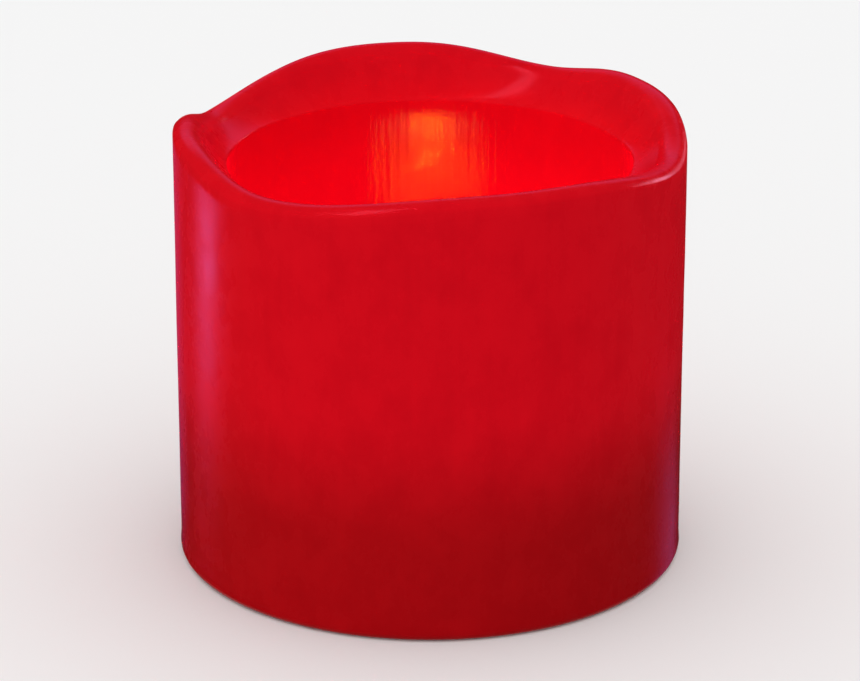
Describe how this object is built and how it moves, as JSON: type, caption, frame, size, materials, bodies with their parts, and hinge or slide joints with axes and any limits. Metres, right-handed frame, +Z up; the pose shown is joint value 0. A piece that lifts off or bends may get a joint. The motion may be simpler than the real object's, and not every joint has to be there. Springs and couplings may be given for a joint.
{
  "type": "flameless led candle",
  "caption": "Short red wax pillar candle with a melted rim and an open hollow, lit from inside by a flickering lamp on a battery module set in its base",
  "frame": {"origin": "centre of the rest face, on the surface that the candle stands on", "axes": "+Z up along the candle's axis; -Y is the front of the candle; +X is to the right of someone facing the front"},
  "size_m": [0.076, 0.076, 0.0684],
  "materials": {
    "red_wax": "satin, slightly translucent",
    "hot_glue": "cloudy gloss",
    "black_plastic": "fine moulded grain",
    "frosted_plastic": "frosted, translucent",
    "amber_epoxy": "clear gloss",
    "tinned_wire": "tinned",
    "screw_steel": "zinc plated",
    "board_laminate": "solder mask",
    "chip_epoxy": "cast epoxy",
    "resistor_enamel": "dipped enamel",
    "capacitor_sleeve": "shrunk sleeve",
    "crystal_can": "drawn can",
    "cell_jacket": "printed film",
    "contact_plate": "nickel plated strip",
    "spring_wire": "nickel plated wire",
    "switch_metal": "pressed sheet",
    "switch_board": "phenolic board",
    "terminal_brass": "tinned brass",
    "slider_plastic": "moulded",
    "red_insulation": "extruded",
    "black_insulation": "extruded",
    "white_insulation": "extruded",
    "blue_insulation": "extruded"
  },
  "bodies": {
    "candle": {"wax_shell": "red_wax", "adhesive_ring": "hot_glue", "base_tray": "black_plastic", "housing_cup": "black_plastic", "housing_screws": "screw_steel", "lamp_sleeve": "frosted_plastic", "led_lamp": "amber_epoxy", "led_leads": "tinned_wire", "circuit_board": "board_laminate", "board_screws": "screw_steel", "control_chip": "chip_epoxy", "resistor": "resistor_enamel", "capacitor": "capacitor_sleeve", "timer_crystal": "crystal_can", "battery_front": "cell_jacket", "battery_rear": "cell_jacket", "bridge_contact": "contact_plate", "positive_contact": "contact_plate", "negative_contact": "contact_plate", "contact_springs": "spring_wire", "switch_frame": "switch_metal", "switch_base": "switch_board", "switch_terminals": "terminal_brass", "switch_screws": "screw_steel", "wire_positive": "red_insulation", "wire_negative": "black_insulation", "wire_switch": "white_insulation", "wire_timer": "blue_insulation"},
    "door": {"battery_door": "black_plastic"},
    "slider": {"switch_slider": "slider_plastic"}
  },
  "joints": [
    {"name": "battery_door_hinge", "type": "hinge", "parent": "candle", "child": "door", "pos_m": [0, -0.0135, 0.0008], "axis": [-1, 0, 0], "range_deg": [0, 50]},
    {"name": "switch_slide", "type": "slide", "parent": "candle", "child": "slider", "axis": [1, 0, 0], "range_m": [0, 0.004]}
  ]
}
